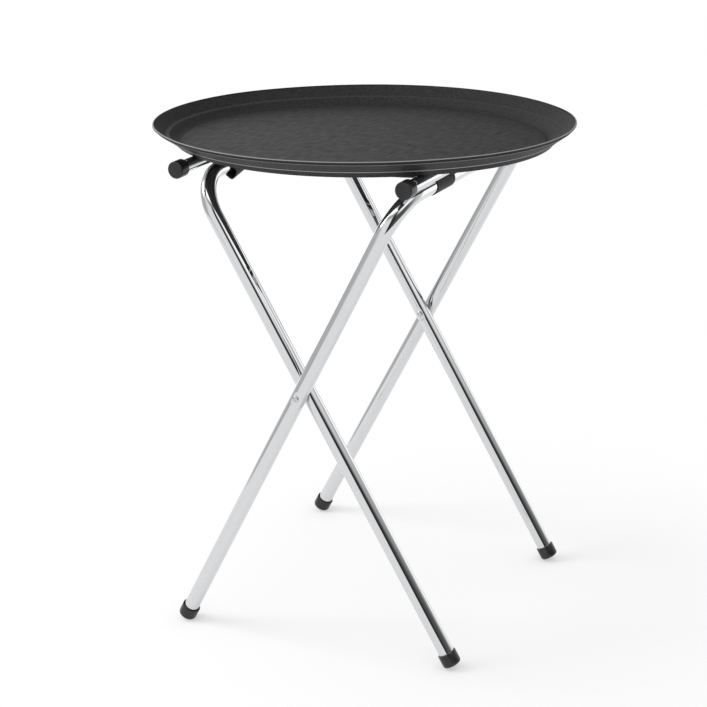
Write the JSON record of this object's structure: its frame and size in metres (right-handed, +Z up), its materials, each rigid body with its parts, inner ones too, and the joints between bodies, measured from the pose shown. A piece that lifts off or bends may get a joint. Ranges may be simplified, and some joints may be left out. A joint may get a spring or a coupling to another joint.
{
  "type": "folding tray stand",
  "caption": "Folding X-frame stand of bent chromed tube with capped upper bars and webbing straps, carrying a loose oval serving tray with a raised rim.",
  "frame": {"origin": "on the floor, below the middle of the stand", "axes": "+Z up, +X the way the stand opens, towards the top of the outer frame, Y along the upper bars"},
  "size_m": [0.6878, 0.5698, 0.815],
  "materials": {
    "chrome_steel": "bright chrome plate on steel tube",
    "black_pvc": "black moulded PVC, satin",
    "rivet_steel": "plated steel, formed heads",
    "nylon": "natural nylon",
    "webbing": "black plain-woven webbing",
    "tray_plastic": "black moulded fibreglass, satin",
    "tray_lining": "non-slip sheet, fine pebbled grain"
  },
  "bodies": {
    "outer_frame": {"outer_leg_frame": "chrome_steel", "outer_upper_bar": "chrome_steel", "outer_bar_welds": "chrome_steel", "outer_bar_cap_front": "black_pvc", "outer_bar_cap_rear": "black_pvc", "outer_foot_front": "black_pvc", "outer_foot_rear": "black_pvc", "pivot_rivet_front": "rivet_steel", "pivot_rivet_rear": "rivet_steel", "pivot_spacer_front": "nylon", "pivot_spacer_rear": "nylon", "front_strap": "webbing", "rear_strap": "webbing"},
    "inner_frame": {"inner_leg_frame": "chrome_steel", "inner_upper_bar": "chrome_steel", "inner_bar_welds": "chrome_steel", "inner_bar_cap_front": "black_pvc", "inner_bar_cap_rear": "black_pvc", "inner_foot_front": "black_pvc", "inner_foot_rear": "black_pvc"},
    "tray": {"tray_shell": "tray_plastic", "tray_lining": "tray_lining"}
  },
  "joints": [
    {"name": "frame_fold", "type": "hinge", "parent": "outer_frame", "child": "inner_frame", "pos_m": [0, 0, 0.431], "axis": [0, 1, 0], "range_deg": [0, 53], "deforming": ["front_strap", "rear_strap"]},
    {"name": "tray_lift", "type": "slide", "parent": "outer_frame", "child": "tray", "axis": [0, 0, 1], "range_m": [0, 0.19]}
  ],
  "couplings": [
    {"joint": "tray_lift", "follows": "frame_fold", "m_per_rad": 0.2}
  ]
}
